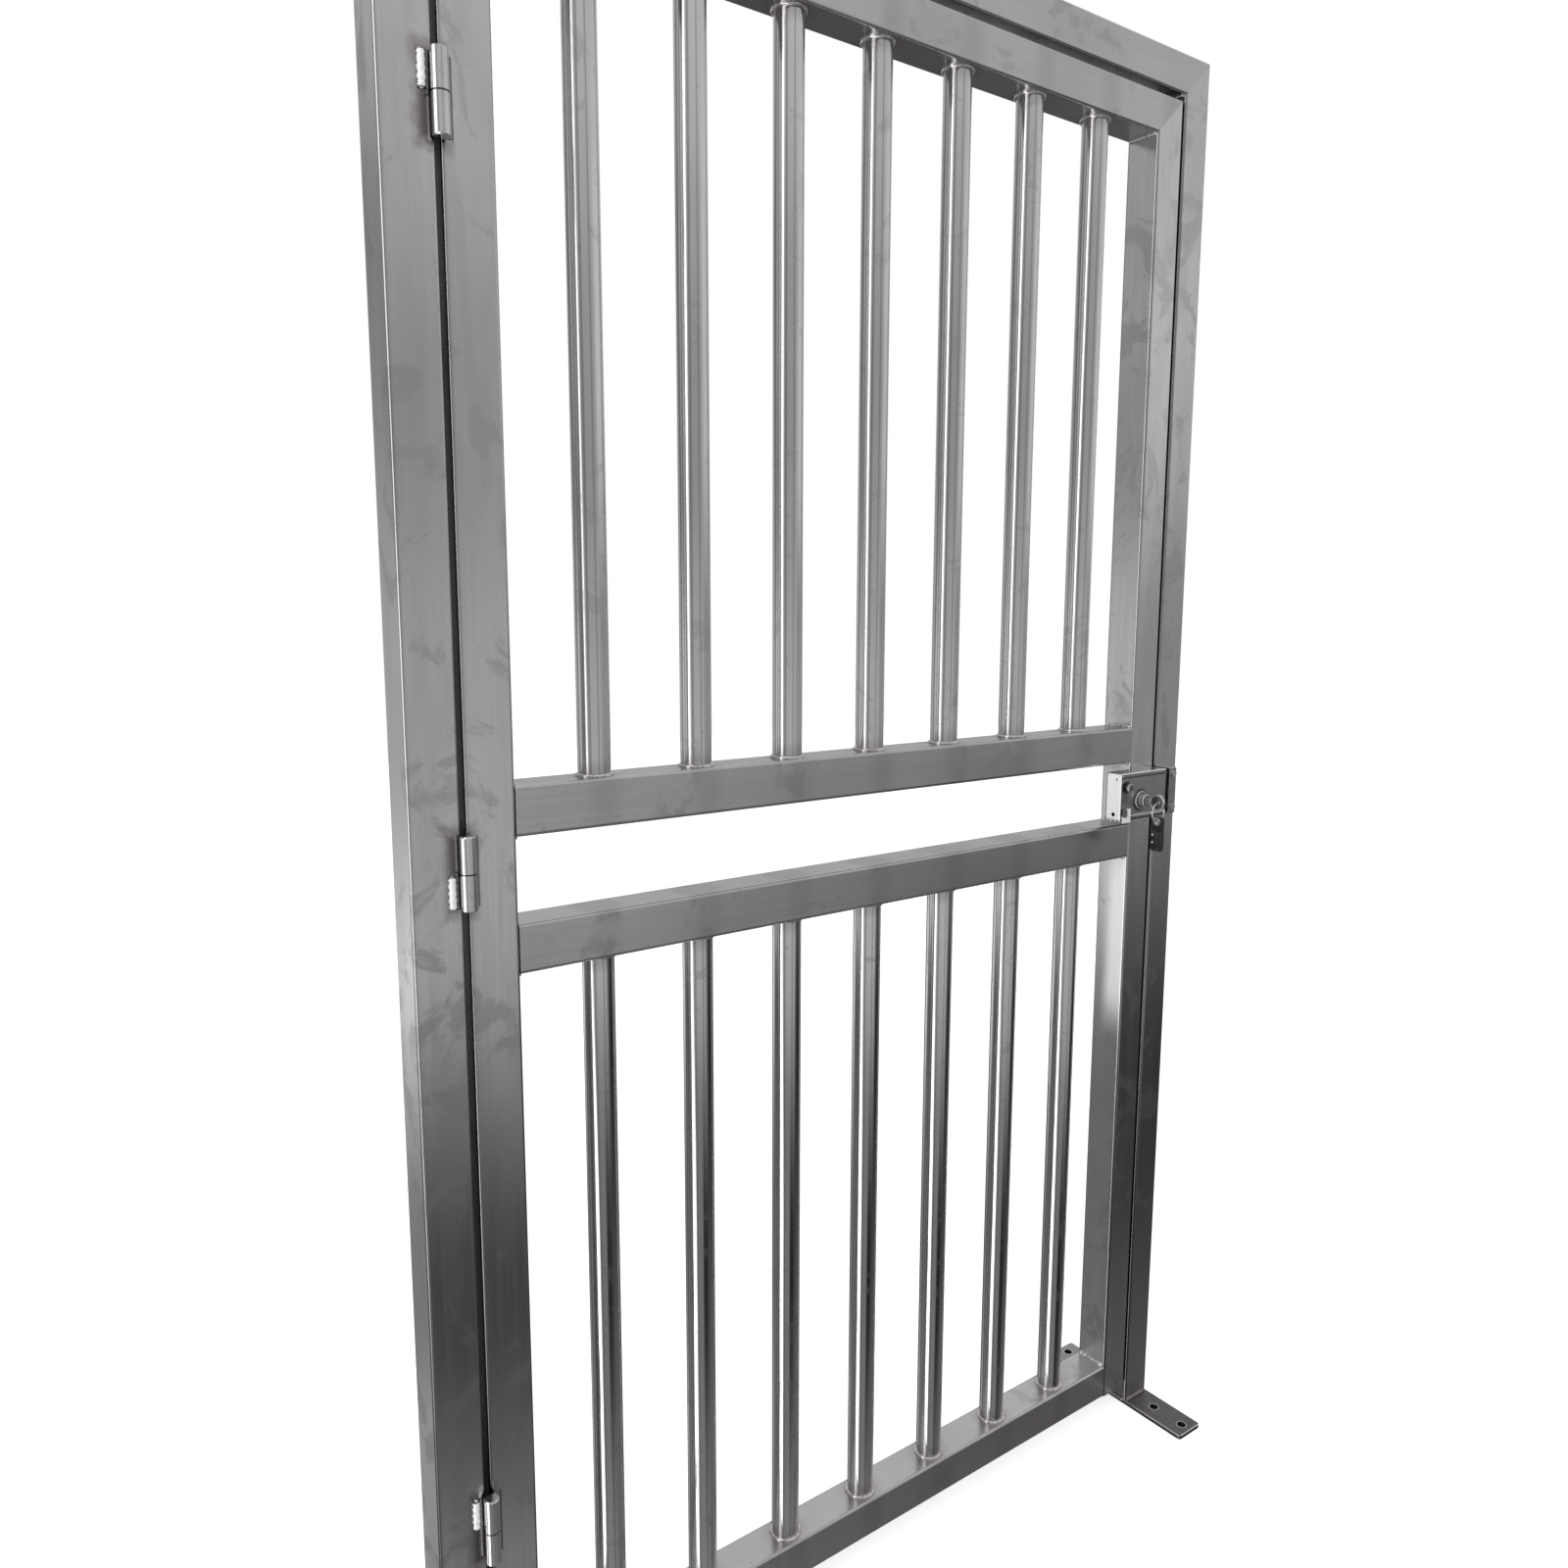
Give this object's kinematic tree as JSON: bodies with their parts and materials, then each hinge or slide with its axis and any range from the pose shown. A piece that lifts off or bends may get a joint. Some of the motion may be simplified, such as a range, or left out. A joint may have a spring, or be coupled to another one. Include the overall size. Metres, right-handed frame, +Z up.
{
  "type": "livestock panel gate",
  "caption": "Floor-standing square-tube portal with one barred leaf on barrel hinges and a surface key lock at the closing side.",
  "frame": {"origin": "on the floor, half way across the gate, in the middle plane of the tubes", "axes": "+X across towards the lock side, +Y through the gate away from the hinge side, +Z up"},
  "size_m": [1.14, 0.25, 1.965],
  "materials": {
    "portal_tube": "satin",
    "leaf_tube": "satin",
    "round_bar": "satin",
    "floor_plate": "satin",
    "hinge_barrel": "satin",
    "bright_steel": "machined",
    "washer_brass": "machined",
    "lock_sheet": "satin",
    "lock_nickel": "satin",
    "key_nickel": "worn",
    "ring_steel": "polished",
    "tag_leather": "worn",
    "eyelet_nickel": "polished"
  },
  "bodies": {
    "portal": {"left_post": "portal_tube", "right_post": "portal_tube", "header": "portal_tube", "left_foot_plate": "floor_plate", "right_foot_plate": "floor_plate", "lower_hinge_post_knuckle": "hinge_barrel", "middle_hinge_post_knuckle": "hinge_barrel", "upper_hinge_post_knuckle": "hinge_barrel", "middle_hinge_pin": "bright_steel", "middle_hinge_washer": "washer_brass", "strike_box": "lock_sheet", "strike_screws": "bright_steel"},
    "leaf": {"hinge_stile": "leaf_tube", "closing_stile": "leaf_tube", "top_rail": "leaf_tube", "upper_middle_rail": "leaf_tube", "lower_middle_rail": "leaf_tube", "bottom_rail": "leaf_tube", "hinge_stile_cap": "leaf_tube", "closing_stile_cap": "leaf_tube", "upper_bar_1": "round_bar", "lower_bar_1": "round_bar", "upper_bar_2": "round_bar", "lower_bar_2": "round_bar", "upper_bar_3": "round_bar", "lower_bar_3": "round_bar", "upper_bar_4": "round_bar", "lower_bar_4": "round_bar", "upper_bar_5": "round_bar", "lower_bar_5": "round_bar", "upper_bar_6": "round_bar", "lower_bar_6": "round_bar", "upper_bar_7": "round_bar", "lower_bar_7": "round_bar", "lower_hinge_leaf_knuckle": "hinge_barrel", "middle_hinge_leaf_knuckle": "hinge_barrel", "upper_hinge_leaf_knuckle": "hinge_barrel", "lower_hinge_pin": "bright_steel", "upper_hinge_pin": "bright_steel", "lower_hinge_washer": "washer_brass", "upper_hinge_washer": "washer_brass", "lock_back_plate": "lock_sheet", "lock_screws": "bright_steel", "lock_case": "lock_sheet", "lock_tab": "lock_sheet", "cylinder_housing": "lock_nickel", "cylinder_nut": "lock_nickel", "bolt_guide_pin": "bright_steel", "button_spring": "bright_steel"},
    "bolt": {"lock_bolt": "bright_steel"},
    "plug": {"cylinder_plug": "lock_nickel", "bolt_cam": "bright_steel"},
    "key": {"key": "key_nickel"},
    "ring": {"key_ring": "ring_steel"},
    "tag": {"key_tag": "tag_leather", "tag_eyelet": "eyelet_nickel"},
    "button": {"hold_back_button": "lock_nickel"}
  },
  "joints": [
    {"name": "leaf_swing", "type": "hinge", "parent": "portal", "child": "leaf", "pos_m": [-0.5175, -0.033, 0.991], "axis": [0, 0, -1], "range_deg": [0, 180]},
    {"name": "plug_turn", "type": "hinge", "parent": "leaf", "child": "plug", "pos_m": [0.456, -0.05, 0.969], "axis": [0, 1, 0], "range_deg": [0, 90]},
    {"name": "bolt_slide", "type": "slide", "parent": "leaf", "child": "bolt", "axis": [1, 0, 0], "range_m": [0, 0.01697]},
    {"name": "key_pull", "type": "slide", "parent": "plug", "child": "key", "axis": [0, -1, 0], "range_m": [0, 0.024]},
    {"name": "ring_swing", "type": "hinge", "parent": "key", "child": "ring", "pos_m": [0.456, -0.08085, 0.969], "axis": [0, 1, 0], "range_deg": [-40, 40]},
    {"name": "tag_swing", "type": "hinge", "parent": "ring", "child": "tag", "pos_m": [0.456, -0.08085, 0.943], "axis": [0, 1, 0], "range_deg": [-35, 35]},
    {"name": "button_push", "type": "slide", "parent": "leaf", "child": "button", "axis": [0, 1, 0], "range_m": [0, 0.004], "stiffness_N_per_m": 400, "springref_m": -0.002, "deforming": ["button_spring"]}
  ],
  "couplings": [
    {"joint": "plug_turn", "follows": "bolt_slide", "rad_per_m": 92.56}
  ]
}
